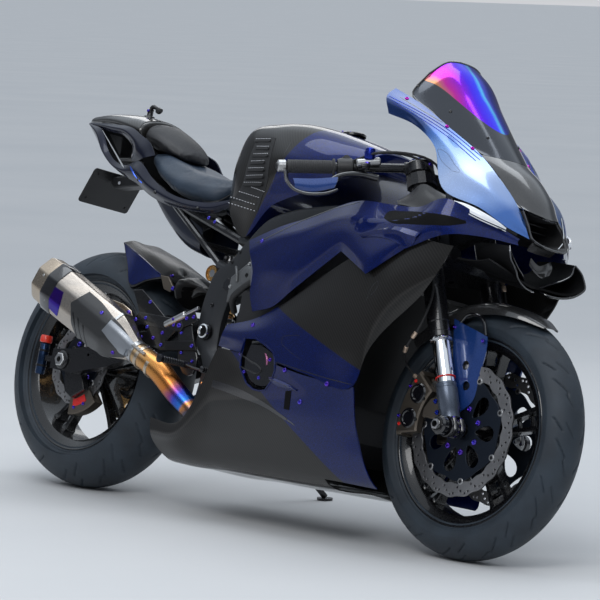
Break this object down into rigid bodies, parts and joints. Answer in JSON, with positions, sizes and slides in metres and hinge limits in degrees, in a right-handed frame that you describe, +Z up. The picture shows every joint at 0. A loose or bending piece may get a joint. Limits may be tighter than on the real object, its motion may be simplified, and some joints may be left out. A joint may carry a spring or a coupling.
{
  "type": "sport bike",
  "caption": "Sport bike with full fairing, single seat and pillion pad, spoked wheels and chain drive, leaning on its side stand.",
  "frame": {"origin": "middle of the footprint box on the ground, bike leaning on its side stand", "axes": "+X forward, +Y to the bike's left, +Z up"},
  "size_m": [1.9961, 0.7103, 1.1614],
  "materials": {
    "blue_paint": "deep metallic blue under clear coat",
    "carbon": "dark twill under clear coat",
    "black_metal": "satin black coat",
    "frame_metal": "dark grey satin coat",
    "bare_metal": "machined",
    "steel": "ground",
    "chrome_tube": "hard chrome",
    "engine_metal": "black cast cases",
    "tyre_rubber": "worn slick rubber",
    "rubber": "ribbed",
    "black_plastic": "fine grain",
    "seat_cover": "grained with a stripe",
    "pad_cover": "grained",
    "screen": "iridescent",
    "lamp": "clear",
    "lamp_red": "clear",
    "titanium": "brushed"
  },
  "bodies": {
    "frame": {"drive_chain": "steel", "frame_head": "frame_metal", "frame_spar_right": "frame_metal", "frame_spar_left": "frame_metal", "engine": "engine_metal", "swingarm_right": "black_metal", "swingarm_left": "black_metal", "swingarm_bridge": "black_metal", "rear_axle": "bare_metal", "rear_brake": "bare_metal", "rear_hugger": "carbon", "rear_shock": "bare_metal", "rearset_right": "black_metal", "rearset_left": "black_metal", "fuel_tank": "blue_paint", "tank_grips": "rubber", "rider_seat": "seat_cover", "tail_fairing_right": "blue_paint", "tail_fairing_left": "blue_paint", "tail_cover": "carbon", "pillion_pad": "pad_cover", "undertray": "black_plastic", "subframe": "black_metal", "plate_holder": "black_metal", "tail_light": "lamp_red", "shoulder_fairing_right": "blue_paint", "side_fairing_right": "blue_paint", "shoulder_fairing_left": "blue_paint", "side_fairing_left": "blue_paint", "belly_pan": "carbon", "cowl_side_right": "blue_paint", "cowl_side_left": "blue_paint", "cowl_nose": "blue_paint", "windscreen": "screen", "nose_duct": "black_plastic", "position_lamps": "lamp", "chin_splitter": "black_plastic", "cockpit": "black_plastic", "fairing_stay": "black_metal", "radiator": "black_metal", "exhaust_pipe": "titanium", "silencer": "titanium", "silencer_shield": "carbon"},
    "fork": {"fork_legs": "chrome_tube", "triple_clamps": "black_metal", "front_axle": "bare_metal", "front_calipers": "bare_metal", "front_fender": "blue_paint", "handlebars": "black_metal", "grips": "rubber", "hand_controls": "black_plastic", "brake_hoses": "rubber"},
    "front_wheel": {"front_tyre": "tyre_rubber", "front_rim": "black_metal", "front_discs": "steel"},
    "rear_wheel": {"rear_tyre": "tyre_rubber", "rear_rim": "black_metal", "rear_disc": "steel", "rear_sprocket": "bare_metal"},
    "side_stand": {"side_stand": "black_metal"}
  },
  "joints": [
    {"name": "steering", "type": "hinge", "parent": "frame", "child": "fork", "pos_m": [0.5062, -0.03707, 0.63641], "axis": [-0.4067, 0.2055, 0.8901], "range_deg": [-27, 27]},
    {"name": "front_wheel_spin", "type": "hinge", "parent": "fork", "child": "front_wheel", "pos_m": [0.7, -0.11616, 0.29385], "axis": [0, 0.9744, -0.225], "continuous": true},
    {"name": "rear_wheel_spin", "type": "hinge", "parent": "frame", "child": "rear_wheel", "pos_m": [-0.685, -0.1126, 0.30928], "axis": [0, 0.9744, -0.225], "continuous": true},
    {"name": "side_stand_swing", "type": "hinge", "parent": "frame", "child": "side_stand", "pos_m": [-0.2125, 0.0447, 0.20378], "axis": [-0.3387, 0.8946, 0.2916], "range_deg": [0, 95]}
  ]
}
